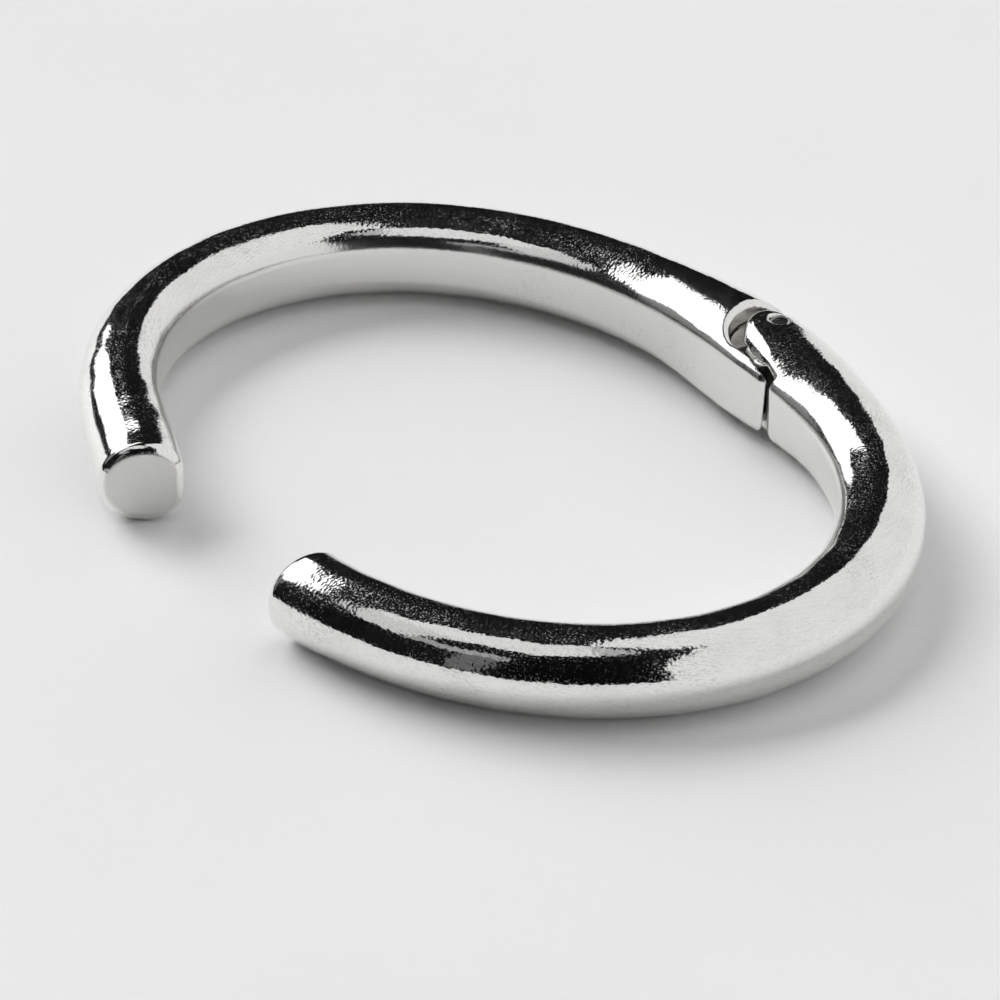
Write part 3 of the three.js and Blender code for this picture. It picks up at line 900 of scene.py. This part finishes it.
def blend_value(tree, factor, first, second):
    return put(tree, "ShaderNodeMix", {0: factor, 2: first, 3: second}).outputs[0]


def ramp(tree, value, low, high, to_low=0.0, to_high=1.0):
    """Smooth change from to_low to to_high as the value goes from low to high."""
    inputs = {0: value, 1: low, 2: high, 3: to_low, 4: to_high}
    return put(tree, "ShaderNodeMapRange", inputs, interpolation_type="SMOOTHSTEP").outputs[0]


def noise(tree, vector, scale, detail, roughness=0.5):
    inputs = {"Vector": vector, "Scale": scale, "Detail": detail, "Roughness": roughness}
    return put(tree, "ShaderNodeTexNoise", inputs).outputs[0]


def sized_noise(tree, vector, size, detail):
    """Noise whose size is a number of metres or a socket."""
    return noise(tree, vector, maths(tree, "DIVIDE", 1.0, size), detail)


def effect(name, numbers, outputs):
    """Empty node group that takes a vector and numbers. Gives it, its input sockets and its outputs."""
    group = bpy.data.node_groups.new(name, "ShaderNodeTree")
    group.interface.new_socket(name="Vector", in_out="INPUT", socket_type="NodeSocketVector")
    for label, default in numbers.items():
        socket = group.interface.new_socket(name=label, in_out="INPUT", socket_type="NodeSocketFloat")
        socket.default_value = default
    for label in outputs:
        group.interface.new_socket(name=label, in_out="OUTPUT", socket_type="NodeSocketFloat")
    return group, put(group, "NodeGroupInput").outputs, put(group, "NodeGroupOutput").inputs


def use_effect(tree, name, build, place, **values):
    """Places a shared effect with its own values. Gives its outputs."""
    node = put(tree, "ShaderNodeGroup", node_tree=bpy.data.node_groups.get(name) or build())
    tree.links.new(place, node.inputs["Vector"])
    for label, value in values.items():
        node.inputs[label.replace("_", " ")].default_value = value
    return node.outputs


def object_place(tree):
    return put(tree, "ShaderNodeTexCoord").outputs["Object"]


def material(name, metallic=1.0):
    """New node material with its nodes and its Principled shader."""
    made = bpy.data.materials.new(name)
    made.use_nodes = True
    shader = made.node_tree.nodes["Principled BSDF"]
    shader.inputs["Metallic"].default_value = metallic
    return made, made.node_tree, shader


def feed(tree, shader, base, rough, height):
    """Gives a shader its colour and roughness, and a height in metres as a bump."""
    normal = put(tree, "ShaderNodeBump", {"Strength": 1.0, "Distance": 1.0, "Height": height}).outputs[0]
    for name, value in (("Base Color", base), ("Roughness", rough), ("Normal", normal)):
        plug(tree, value, shader.inputs[name])


def toned_metal(name, light, dark, scale, shades, rough, relief, height):
    """Metal that a slow noise shades, with a relief of a height in metres. Its shades are the stretch
    of noise over which it goes from light to dark, and rough is a stretch and the roughness at its ends."""
    made, tree, shader = material(name)
    place = object_place(tree)
    tone = noise(tree, place, scale, detail=3.0)
    base = blend_colour(tree, ramp(tree, tone, *shades), (*light, 1), (*dark, 1))
    feed(tree, shader, base, ramp(tree, tone, *rough), times(tree, relief(tree, place), height))
    return made


# Materials

# Size of the patches of pits over the size of the pits
PATCH_SPREAD = 30.0
# Two sets of rubbing marks: how far each is turned and tipped, and its marks' length over their width
RUB_SETS = ((0.28, 0.1, 26.0), (-0.2, 0.25, 34.0))
# Share of the marks outside their patches, and the roughness that they add
RUB_EVERYWHERE = 0.4
RUB_MATT = 0.1
# How far the slow tone, each mark and each zone take the plate's colour towards the dull silver, which on
# the inner face is painted shade
TONE_DULL = 0.25
SPOT_DULL = 0.2
RUB_DULL = 0.8
# Painted shade: the inner face's colour is darkened
INNER_PAINTED_SHADE = 0.4
END_DULL = 0.9
# Faces sunk inside the hinge are made darker and rougher
HIDDEN_DULL = 0.7
TONE_SIZE = 0.003
# Brightness of tarnished steel, and of the darker parts of the floor, over that of the clean ones
TARNISH = 0.45
FLOOR_SHADE = 0.98
FLOOR_ROUGHNESS = 0.7
TOOTH_HEIGHT = 0.00004


def polish_effect():
    """Ripple and fine orange peel of a polished skin as heights in metres, and a mask of tiny pits."""
    numbers = {"Ripple": 0.0, "Ripple Size": 1.0, "Peel": 0.0, "Peel Size": 1.0, "Spot Size": 1.0}
    group, given, made = effect("Polished cast skin", numbers, ["Height", "Spots"])
    place, spot_size = given["Vector"], given["Spot Size"]
    slow = times(group, sized_noise(group, place, given["Ripple Size"], detail=1.0), given["Ripple"])
    fine = times(group, sized_noise(group, place, given["Peel Size"], detail=0.0), given["Peel"])
    group.links.new(plus(group, slow, fine), made["Height"])
    spots = ramp(group, sized_noise(group, place, spot_size, detail=1.0), low=0.5, high=0.68)
    patches = sized_noise(group, place, times(group, spot_size, PATCH_SPREAD), detail=2.0)
    patches = ramp(group, patches, low=0.35, high=0.65, to_low=0.6)
    group.links.new(times(group, spots, patches), made["Spots"])
    return group


def rub_effect():
    """Thin rubbing marks in two crossing directions, in patches: a height and a mask."""
    numbers = {"Depth": 0.0, "Width": 1.0, "Patch Size": 1.0, "Everywhere": 0.0}
    group, given, made = effect("Rubbing marks", numbers, ["Height", "Mask"])
    sets = []
    for tilt, lean, stretch in RUB_SETS:
        streaked = put(
            group, "ShaderNodeMapping",
            {"Vector": given["Vector"], "Rotation": (0.0, lean, tilt), "Scale": (stretch, 1.0, 1.0)},
            vector_type="TEXTURE",
        ).outputs[0]
        sets.append(sized_noise(group, streaked, given["Width"], detail=2.0))
    marks = plus(group, *sets)
    patch = sized_noise(group, given["Vector"], given["Patch Size"], detail=2.0)
    patch = maths(group, "MAXIMUM", ramp(group, patch, low=0.48, high=0.66), given["Everywhere"])
    group.links.new(times(group, times(group, marks, patch), given["Depth"]), made["Height"])
    group.links.new(times(group, ramp(group, marks, low=0.95, high=1.25), patch), made["Mask"])
    return group


def silver_material(finish):
    """Polished plate on the arms, satin with painted shade on the inner face, matt at the ends, dull inside
    the hinge.
    """
    made, tree, shader = material("Polished silver plate")
    place = put(tree, "ShaderNodeAttribute", attribute_name=STRAIGHT).outputs["Vector"]
    zones = put(tree, "ShaderNodeAttribute", attribute_name=ZONES).outputs["Color"]
    zones = put(tree, "ShaderNodeSeparateColor", {"Color": zones}).outputs
    inner, end, hidden = zones["Red"], zones["Green"], zones["Blue"]
    skin = use_effect(
        tree, "Polished cast skin", polish_effect, place,
        Ripple=finish.ripple, Ripple_Size=finish.ripple_size,
        Peel=finish.peel, Peel_Size=finish.peel_size, Spot_Size=finish.spot_size,
    )
    rubbed = use_effect(
        tree, "Rubbing marks", rub_effect, place,
        Depth=finish.rub, Width=finish.rub_size, Patch_Size=finish.patch_size, Everywhere=RUB_EVERYWHERE,
    )
    dents = times(tree, sized_noise(tree, place, finish.dent_size, detail=3.0), finish.dent)
    height = plus(tree, skin["Height"], rubbed["Height"], times(tree, dents, end))
    tone = sized_noise(tree, place, TONE_SIZE, detail=3.0)
    shade = plus(
        tree,
        ramp(tree, tone, low=0.4, high=0.8, to_high=TONE_DULL),
        times(tree, skin["Spots"], SPOT_DULL),
        times(tree, rubbed["Mask"], RUB_DULL),
    )
    rough = plus(
        tree,
        times(tree, skin["Spots"], finish.spot_matt),
        ramp(tree, tone, low=0.35, high=0.75, to_low=finish.polish, to_high=2 * finish.polish),
        times(tree, rubbed["Mask"], RUB_MATT),
    )
    for zone, dull, matt in (
        # Inner face: satin, with painted shade in its colour
        (inner, INNER_PAINTED_SHADE, finish.satin),
        (end, END_DULL, finish.end_matt),
        (hidden, HIDDEN_DULL, finish.hidden_matt),
    ):
        shade = maths(tree, "MAXIMUM", shade, times(tree, zone, dull))
        rough = blend_value(tree, zone, rough, matt)
    base = blend_colour(tree, shade, (*finish.silver, 1), (*finish.silver_dull_and_shade, 1))
    feed(tree, shader, base, rough, height)
    return made


def cast_material(finish):
    """Unpolished cast metal with dark hollows."""

    def pits(tree, place):
        return noise(tree, place, scale=2500.0, detail=4.0, roughness=0.65)

    return toned_metal(
        "Cast hinge metal", finish.cast, finish.cast_dark, scale=700.0, shades=(0.35, 0.7),
        rough=(0.3, 0.7, 0.32, 0.5), relief=pits, height=0.00003,
    )


def pin_material(finish, middle):
    """Turned rod: fine rings on its ends."""

    def rings(tree, place):
        offset = put(tree, "ShaderNodeVectorMath", {0: place, 1: middle}, operation="SUBTRACT").outputs[0]
        inputs = {"Vector": offset, "Scale": 3000.0, "Distortion": 1.5, "Detail": 2.0}
        waves = put(tree, "ShaderNodeTexWave", inputs, wave_type="RINGS", rings_direction="Z")
        return waves.outputs["Fac"]

    return toned_metal(
        "Turned pin", finish.silver, finish.silver_dull_and_shade, scale=1200.0, shades=(0.3, 0.8),
        rough=(0.3, 0.8, 0.1, 0.22), relief=rings, height=0.000001,
    )


def steel_material(finish):
    """Drawn spring wire with die marks and a little tarnish."""

    def die_marks(tree, place):
        return noise(tree, place, scale=5000.0, detail=2.0)

    tarnished = [TARNISH * part for part in finish.steel]
    return toned_metal(
        "Drawn spring steel", finish.steel, tarnished, scale=900.0, shades=(0.35, 0.75),
        rough=(0.3, 0.7, 0.2, 0.38), relief=die_marks, height=0.000004,
    )


def floor_material(stage):
    """Plain pale floor with a faint tooth."""
    made, tree, shader = material("Pale floor", metallic=0.0)
    place = object_place(tree)
    tone = ramp(tree, noise(tree, place, scale=25.0, detail=4.0), low=0.3, high=0.7)
    dark = [FLOOR_SHADE * part for part in stage.floor]
    base = blend_colour(tree, tone, (*stage.floor, 1), (*dark, 1))
    tooth = times(tree, noise(tree, place, scale=800.0, detail=3.0), TOOTH_HEIGHT)
    feed(tree, shader, base, FLOOR_ROUGHNESS, tooth)
    return made


# Operators


def place_piece(name, mesh, body, node, finish):
    """Adds a piece that rides on a body and takes the place of one solid."""
    mesh.materials.append(finish)
    piece = link(name, mesh)
    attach(piece, body)
    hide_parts(node)


def add_arm(settings, node, body, tip, cut, move, dullness):
    """Adds an arm. Its tip is an angle, and dullness says how dull its faces inside the hinge are."""
    layout = HingeLayout(settings)
    name = "polished_" + node

    def distance(layout, points):
        return arm_distance(layout, points, tip, cut)

    mesh, points, normals = carve(layout, node, name, distance, settings.edges.grain, move)
    paint_zones(mesh, layout, points, normals, tip, dullness)
    finish = bpy.data.materials.get("Polished silver plate") or silver_material(settings.finish)
    place_piece(name, mesh, body, node, finish)


class BANGLE_OT_back_arm(bpy.types.Operator):
    """Add the left and rear arm, with the hinge's cup and lip"""

    bl_idname = "bangle.add_back_arm"
    bl_label = "Back Arm"

    def execute(self, context):
        settings = context.scene.bangle
        add_arm(
            settings, "back_arm", BACK_BODY, settings.oval.back_tip,
            cut=cut_to_cup, move=lip_drawn_out, dullness=1.0,
        )
        return {"FINISHED"}


class BANGLE_OT_front_arm(bpy.types.Operator):
    """Add the right and front arm, with the hinge's nose and its two ears"""

    bl_idname = "bangle.add_front_arm"
    bl_label = "Front Arm"

    def execute(self, context):
        settings = context.scene.bangle
        add_arm(
            settings, "front_arm", FRONT_BODY, -settings.oval.front_tip,
            cut=cut_to_nose, move=step_moved_on, dullness=0.3,
        )
        return {"FINISHED"}


class BANGLE_OT_hinge_tongue(bpy.types.Operator):
    """Add the cast tongue, brazed into the back arm, that the pin passes through"""

    bl_idname = "bangle.add_hinge_tongue"
    bl_label = "Hinge Tongue"

    def execute(self, context):
        settings = context.scene.bangle
        grain = settings.edges.small_grain
        mesh, _, _ = carve(HingeLayout(settings), "hinge_tongue", "cast_tongue", tongue_distance, grain)
        finish = cast_material(settings.finish)
        place_piece("cast_tongue", mesh, BACK_BODY, "hinge_tongue", finish)
        return {"FINISHED"}


class BANGLE_OT_hinge_pin(bpy.types.Operator):
    """Add the turned pin that the front arm swings on"""

    bl_idname = "bangle.add_hinge_pin"
    bl_label = "Hinge Pin"

    def execute(self, context):
        settings = context.scene.bangle
        centre = frame["joints"][0]["pos_m"]
        mesh = turned_mesh("turned_pin", pin_profile(HingeLayout(settings)), centre)
        finish = pin_material(settings.finish, centre)
        place_piece("turned_pin", mesh, FRONT_BODY, "hinge_pin", finish)
        return {"FINISHED"}


class BANGLE_OT_torsion_spring(bpy.types.Operator):
    """Add the wire spring round the pin, which twists between the arms and draws them together"""

    bl_idname = "bangle.add_torsion_spring"
    bl_label = "Torsion Spring"

    def execute(self, context):
        settings = context.scene.bangle
        layout = HingeLayout(settings)
        line = spring_line(layout)
        plan = layout.pin + line[:, :1] * layout.along + line[:, 1:2] * layout.outward
        points = np.concatenate([plan, line[:, 2:]], axis=1) + oval_middle(layout)
        half = settings.spring.wire / 2
        mesh = wire_mesh("coil_spring", points, half)
        mesh.materials.append(steel_material(settings.finish))
        piece = link("coil_spring", mesh)
        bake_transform(piece)
        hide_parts("torsion_spring")
        return {"FINISHED"}


# Stage

CLIP_START = 0.01


def add_camera(stage):
    level = Vector((-math.sin(stage.azimuth), math.cos(stage.azimuth), 0))
    look = level * math.cos(stage.elevation) - Vector((0, 0, math.sin(stage.elevation)))
    data = bpy.data.cameras.new("Camera")
    data.lens = stage.lens
    data.clip_start = CLIP_START
    camera = link("Camera", data)
    camera.location = Vector((stage.aim_x, stage.aim_y, 0)) - look * stage.distance
    camera.rotation_euler = look.to_track_quat("-Z", "Y").to_euler()
    bpy.context.scene.camera = camera


def add_floor(stage):
    half = stage.floor_size / 2
    mesh = bpy.data.meshes.new("floor")
    corners = [(-half, -half, 0), (half, -half, 0), (half, half, 0), (-half, half, 0)]
    mesh.from_pydata(corners, [], [(0, 1, 2, 3)])
    mesh.materials.append(floor_material(stage))
    link("floor", mesh)


# Soft panels of the studio as seen from the bangle: radiance, and corners in azimuth, clockwise from
# straight behind it, and elevation, both in degrees
PANELS = (
    ("gloom behind the camera", 0.003, ((160, 2), (208, 2), (208, 46), (200, 58), (160, 58))),
    ("gloom overhead", 0.012, ((310, 58), (362, 58), (362, 80), (318, 80))),
    ("gloom on the left", 0.005, ((244, 0), (264, 0), (264, 40), (244, 40))),
    ("far left strip", 0.14, ((213, 3), (220, 3), (222, 44), (211, 44))),
    ("top of the strip", 0.35, ((209, 38), (240, 40), (242, 48), (209, 47))),
    ("left screen", 0.2, ((274, 8), (300, 10), (300, 36), (278, 34))),
    ("left ceiling", 0.74, ((180, 62), (296, 62), (310, 91), (180, 91))),
    ("left ceiling edge", 0.6, ((241, 42), (260, 43), (298, 63), (241, 63))),
    ("ceiling behind the camera", 0.45, ((155, 72), (181, 66), (181, 91), (155, 91))),
    ("right wall", 0.78, ((16, -5), (157, -5), (157, 30), (150, 45), (138, 59), (16, 59))),
    ("right ceiling", 0.78, ((11, 58), (138, 58), (126, 75), (120, 91), (3, 91), (7, 68))),
)
KEY_PANELS = (
    ("arch of the key light", (
        (279, 34), (281, 42), (290, 50), (300, 53), (322, 53.5), (338, 49), (347, 42), (352, 36), (330, 33),
    )),
    ("body of the key light", ((300, 34), (333, 34), (333, 12), (327, 9), (316, 9), (302, 27))),
)
PANEL_EDGE = 0.6
DUSK = 0.007


def panel_mask(tree, azimuth, elevation, corners):
    """1 in the directions inside a panel's corners, and 0 outside them."""
    middle = [sum(part) / len(corners) for part in zip(*corners)]
    inside = None
    for (x, y), (next_x, next_y) in zip(corners, corners[1:] + corners[:1]):
        across = Vector((next_y - y, x - next_x)).normalized()
        if across.dot((middle[0] - x, middle[1] - y)) < 0:
            across.negate()
        reach = maths(tree, "MULTIPLY_ADD", elevation, across.y, times(tree, azimuth, across.x))
        reach = maths(tree, "SUBTRACT", reach, across.dot((x, y)))
        inside = reach if inside is None else maths(tree, "MINIMUM", inside, reach)
    return ramp(tree, inside, -PANEL_EDGE, PANEL_EDGE)


def studio_effect(stage):
    """Radiance of the studio's panels in the direction of a vector."""
    group, given, made = effect("Studio panels", {}, ["Radiance"])
    turned = {"Vector": given["Vector"], "Axis": (0, 0, 1), "Angle": -stage.azimuth}
    turned = put(group, "ShaderNodeVectorRotate", turned).outputs[0]
    turned = put(group, "ShaderNodeVectorMath", {0: turned}, operation="NORMALIZE").outputs[0]
    parts = put(group, "ShaderNodeSeparateXYZ", {0: turned}).outputs
    azimuth = times(group, maths(group, "ARCTAN2", parts["X"], parts["Y"]), math.degrees(1))
    azimuth = maths(group, "FLOORED_MODULO", azimuth, 360.0)
    elevation = times(group, maths(group, "ARCSINE", parts["Z"]), math.degrees(1))
    glow = DUSK
    key_panels = tuple((name, stage.key, corners) for name, corners in KEY_PANELS)
    for name, radiance, corners in PANELS + key_panels:
        glow = blend_value(group, panel_mask(group, azimuth, elevation, corners), glow, radiance)
        glow.node.label = name
    group.links.new(glow, made["Radiance"])
    return group


def studio_radiance(tree, stage, way):
    return use_effect(tree, "Studio panels", lambda: studio_effect(stage), way)["Radiance"]


def add_world(stage):
    """The studio's panels as light for the floor, and a pale backdrop for the camera."""
    world = bpy.data.worlds.new("Studio")
    world.use_nodes = True
    tree = world.node_tree
    glow = studio_radiance(tree, stage, put(tree, "ShaderNodeTexCoord").outputs["Generated"])
    seen = put(tree, "ShaderNodeLightPath").outputs["Is Camera Ray"]
    shown = blend_colour(tree, seen, glow, (*stage.backdrop, 1))
    tree.links.new(shown, tree.nodes["Background"].inputs["Color"])
    bpy.context.scene.world = world


TENT_SEGMENTS = 128
# The most that the tent reaches below the floor, as a share of its radius
TENT_SINK = 1 / 30
# Rays that pass through the tent
TENT_PASSES = ("camera", "diffuse", "transmission", "volume_scatter", "shadow")


def add_tent(stage):
    """The same panels on a tent close round the bangle, which only polished metal mirrors."""
    solid = bmesh.new()
    bmesh.ops.create_uvsphere(
        solid, u_segments=TENT_SEGMENTS, v_segments=TENT_SEGMENTS // 2, radius=stage.tent
    )
    below = [vertex for vertex in solid.verts if vertex.co.z < -stage.tent * TENT_SINK]
    bmesh.ops.delete(solid, geom=below, context="VERTS")
    mesh = from_solid("tent", solid)
    made = bpy.data.materials.new("Lit tent")
    made.use_nodes = True
    tree = made.node_tree
    glow = maths(tree, "MINIMUM", studio_radiance(tree, stage, object_place(tree)), stage.glare)
    lit = put(tree, "ShaderNodeEmission", {"Color": glow, "Strength": 1.0}).outputs[0]
    tree.links.new(lit, tree.nodes["Material Output"].inputs["Surface"])
    made.cycles.emission_sampling = "NONE"
    mesh.materials.append(made)
    tent = link("tent", mesh)
    for ray in TENT_PASSES:
        setattr(tent, "visible_" + ray, False)


FILL_SIZE = 0.8
FILL_HEIGHT = 1.0


def add_top_fill(stage):
    """Large soft light overhead, which the floor gets and the polished metal doesn't mirror."""
    data = bpy.data.lights.new("Top fill", "AREA")
    data.shape = "DISK"
    data.size = FILL_SIZE
    data.energy = stage.fill * (math.pi * FILL_SIZE / 2) ** 2
    lamp = link("Top fill", data)
    lamp.location = (stage.aim_x, stage.aim_y, FILL_HEIGHT)
    lamp.visible_camera = False
    lamp.visible_glossy = False


class BANGLE_OT_stage(bpy.types.Operator):
    """Set up the camera, the pale floor, the studio's panels, their tent and the light overhead"""

    bl_idname = "bangle.set_stage"
    bl_label = "Stage"

    def execute(self, context):
        stage = context.scene.bangle.stage
        add_camera(stage)
        add_floor(stage)
        add_world(stage)
        add_tent(stage)
        add_top_fill(stage)
        context.scene.view_settings.view_transform = "Standard"
        return {"FINISHED"}


class BANGLE_PT_panel(bpy.types.Panel):
    """Pieces of the bangle and their settings"""

    bl_label = "Bangle"
    bl_space_type = "VIEW_3D"
    bl_region_type = "UI"
    bl_category = "Bangle"

    def draw(self, context):
        for operator in OPERATORS:
            self.layout.operator(operator.bl_idname)
        settings = context.scene.bangle
        for group in (settings.finish, settings.stage):
            box = self.layout.box()
            for name in group.bl_rna.properties.keys():
                if name not in ("rna_type", "name"):
                    box.prop(group, name)


GROUPS = (
    BangleOval, BangleSection, BangleHinge, BangleSpring, BangleEdges, BangleFinish, BangleStage,
    BangleSettings,
)
OPERATORS = (
    BANGLE_OT_back_arm, BANGLE_OT_front_arm, BANGLE_OT_hinge_tongue, BANGLE_OT_hinge_pin,
    BANGLE_OT_torsion_spring, BANGLE_OT_stage,
)
CLASSES = GROUPS + OPERATORS + (BANGLE_PT_panel,)


def register():
    for made in CLASSES:
        bpy.utils.register_class(made)
    bpy.types.Scene.bangle = PointerProperty(type=BangleSettings)


def unregister():
    del bpy.types.Scene.bangle
    for made in reversed(CLASSES):
        bpy.utils.unregister_class(made)


def main():
    register()
    bpy.ops.bangle.set_stage()
    bpy.ops.bangle.add_back_arm()
    bpy.ops.bangle.add_front_arm()
    bpy.ops.bangle.add_hinge_tongue()
    bpy.ops.bangle.add_hinge_pin()
    bpy.ops.bangle.add_torsion_spring()


if __name__ == "__main__":
    main()
